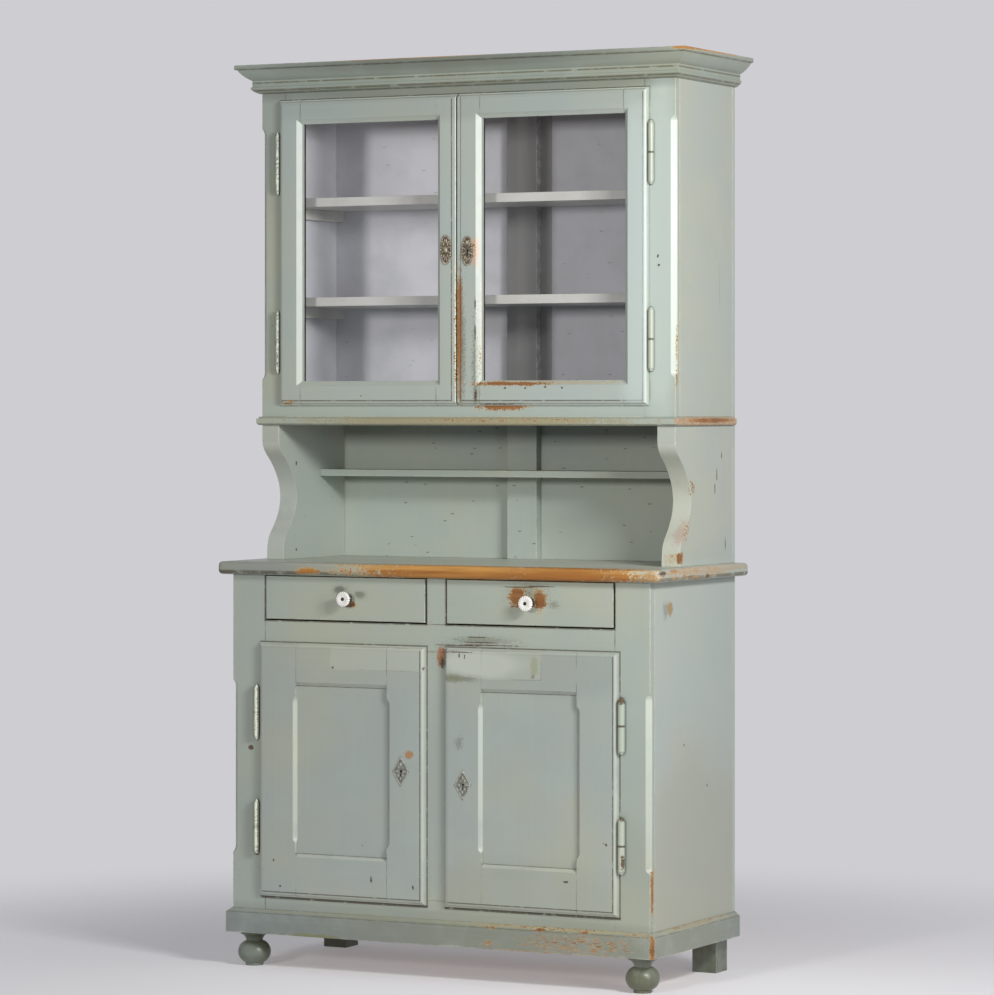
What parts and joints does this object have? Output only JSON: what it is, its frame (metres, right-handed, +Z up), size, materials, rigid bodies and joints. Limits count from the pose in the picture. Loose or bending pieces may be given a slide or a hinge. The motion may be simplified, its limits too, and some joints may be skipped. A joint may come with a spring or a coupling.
{
  "type": "buffet cabinet",
  "caption": "Painted pine buffet cabinet with glazed upper doors, an open shelf niche, drawers, panelled cupboard doors and turned feet, in worn sage green",
  "frame": {"origin": "On the floor, under the middle of the bounding box.", "axes": "+X to the right as seen from the front, +Y towards the back, +Z up."},
  "size_m": [1.109, 0.464, 2],
  "materials": {
    "sage_paint": "worn grey-green paint on pine, cream and orange wood at the edges",
    "worn_counter_paint": "grey-green paint rubbed through to orange pine on the front edge",
    "back_board_paint": "sage green paint in the niche and pale grey-lilac inside the cases, bare wood behind",
    "inside_paint": "thin pale grey-lilac paint, as inside the glazed case",
    "bare_pine": "unpainted pine, waxed by age",
    "painted_hinge_iron": "iron barrels painted over in the case colour",
    "bare_steel": "dull bare steel",
    "tarnished_brass": "dark tarnished stamped brass",
    "pale_cast_metal": "dull pale cast metal",
    "white_porcelain": "white glaze with dark lines in the flutes",
    "clear_glass": "clear old window glass"
  },
  "bodies": {
    "case": {"lower_side_panels": "sage_paint", "lower_front_stiles": "sage_paint", "lower_face_rails": "sage_paint", "lower_middle_posts": "sage_paint", "bottom_board": "bare_pine", "case_shelves": "inside_paint", "drawer_runners_and_guides": "bare_pine", "lower_back_boards": "back_board_paint", "counter_top": "worn_counter_paint", "plinth": "sage_paint", "turned_front_feet": "sage_paint", "rear_block_feet": "sage_paint", "foot_bearers": "bare_pine", "niche_consoles": "sage_paint", "niche_shelf": "sage_paint", "waist_board": "sage_paint", "upper_side_panels": "sage_paint", "upper_front_stiles": "sage_paint", "upper_face_rails": "sage_paint", "upper_top_board": "bare_pine", "upper_back_boards": "back_board_paint", "cornice": "sage_paint", "shelf_cleats": "inside_paint", "frame_hinge_halves": "painted_hinge_iron", "hinge_pins": "bare_steel"},
    "left_glass_door": {"left_glass_door_frame": "sage_paint", "left_glass_pane": "clear_glass", "left_glazing_beads": "sage_paint", "left_oval_plate": "tarnished_brass", "left_glass_door_hinge_halves": "painted_hinge_iron", "left_door_bolt_keepers": "bare_steel"},
    "left_door_top_slide_bolt": {"left_door_top_bolt": "bare_steel"},
    "left_door_bottom_slide_bolt": {"left_door_bottom_bolt": "bare_steel"},
    "right_glass_door": {"right_glass_door_frame": "sage_paint", "right_glass_pane": "clear_glass", "right_glazing_beads": "sage_paint", "right_oval_escutcheon": "tarnished_brass", "right_glass_door_hinge_halves": "painted_hinge_iron", "glass_door_lock_case": "bare_steel"},
    "glass_door_bolt": {"glass_door_lock_bolt": "bare_steel"},
    "left_cupboard_door": {"left_cupboard_door_frame": "sage_paint", "left_cupboard_door_panel": "sage_paint", "left_diamond_escutcheon": "pale_cast_metal", "left_cupboard_door_hinge_halves": "painted_hinge_iron", "left_cupboard_lock_case": "bare_steel"},
    "left_cupboard_bolt": {"left_cupboard_lock_bolt": "bare_steel"},
    "right_cupboard_door": {"right_cupboard_door_frame": "sage_paint", "right_cupboard_door_panel": "sage_paint", "right_diamond_escutcheon": "pale_cast_metal", "right_cupboard_door_hinge_halves": "painted_hinge_iron", "right_cupboard_lock_case": "bare_steel"},
    "right_cupboard_bolt": {"right_cupboard_lock_bolt": "bare_steel"},
    "left_drawer": {"left_drawer_front": "sage_paint", "left_drawer_box": "bare_pine", "left_drawer_knob": "white_porcelain", "left_knob_screw_and_collar": "bare_steel"},
    "right_drawer": {"right_drawer_front": "sage_paint", "right_drawer_box": "bare_pine", "right_drawer_knob": "white_porcelain", "right_knob_screw_and_collar": "bare_steel"}
  },
  "joints": [
    {"name": "left_glass_door_swing", "type": "hinge", "parent": "case", "child": "left_glass_door", "pos_m": [-0.4673, -0.0843, 1.58], "axis": [0, 0, -1], "range_deg": [0, 170]},
    {"name": "right_glass_door_swing", "type": "hinge", "parent": "case", "child": "right_glass_door", "pos_m": [0.4553, -0.0843, 1.58], "axis": [0, 0, 1], "range_deg": [0, 170]},
    {"name": "left_cupboard_door_swing", "type": "hinge", "parent": "case", "child": "left_cupboard_door", "pos_m": [-0.4464, -0.2118, 0.439], "axis": [0, 0, -1], "range_deg": [0, 170]},
    {"name": "right_cupboard_door_swing", "type": "hinge", "parent": "case", "child": "right_cupboard_door", "pos_m": [0.4464, -0.2118, 0.439], "axis": [0, 0, 1], "range_deg": [0, 170]},
    {"name": "left_drawer_slide", "type": "slide", "parent": "case", "child": "left_drawer", "axis": [0, -1, 0], "range_m": [0, 0.3]},
    {"name": "right_drawer_slide", "type": "slide", "parent": "case", "child": "right_drawer", "axis": [0, -1, 0], "range_m": [0, 0.3]},
    {"name": "left_door_top_bolt_slide", "type": "slide", "parent": "left_glass_door", "child": "left_door_top_slide_bolt", "axis": [0, 0, 1], "range_m": [0, 0.014]},
    {"name": "left_door_bottom_bolt_slide", "type": "slide", "parent": "left_glass_door", "child": "left_door_bottom_slide_bolt", "axis": [0, 0, -1], "range_m": [0, 0.014]},
    {"name": "glass_door_bolt_slide", "type": "slide", "parent": "right_glass_door", "child": "glass_door_bolt", "axis": [-1, 0, 0], "range_m": [0, 0.01]},
    {"name": "left_cupboard_bolt_slide", "type": "slide", "parent": "left_cupboard_door", "child": "left_cupboard_bolt", "axis": [1, 0, 0], "range_m": [0, 0.01]},
    {"name": "right_cupboard_bolt_slide", "type": "slide", "parent": "right_cupboard_door", "child": "right_cupboard_bolt", "axis": [-1, 0, 0], "range_m": [0, 0.01]}
  ]
}
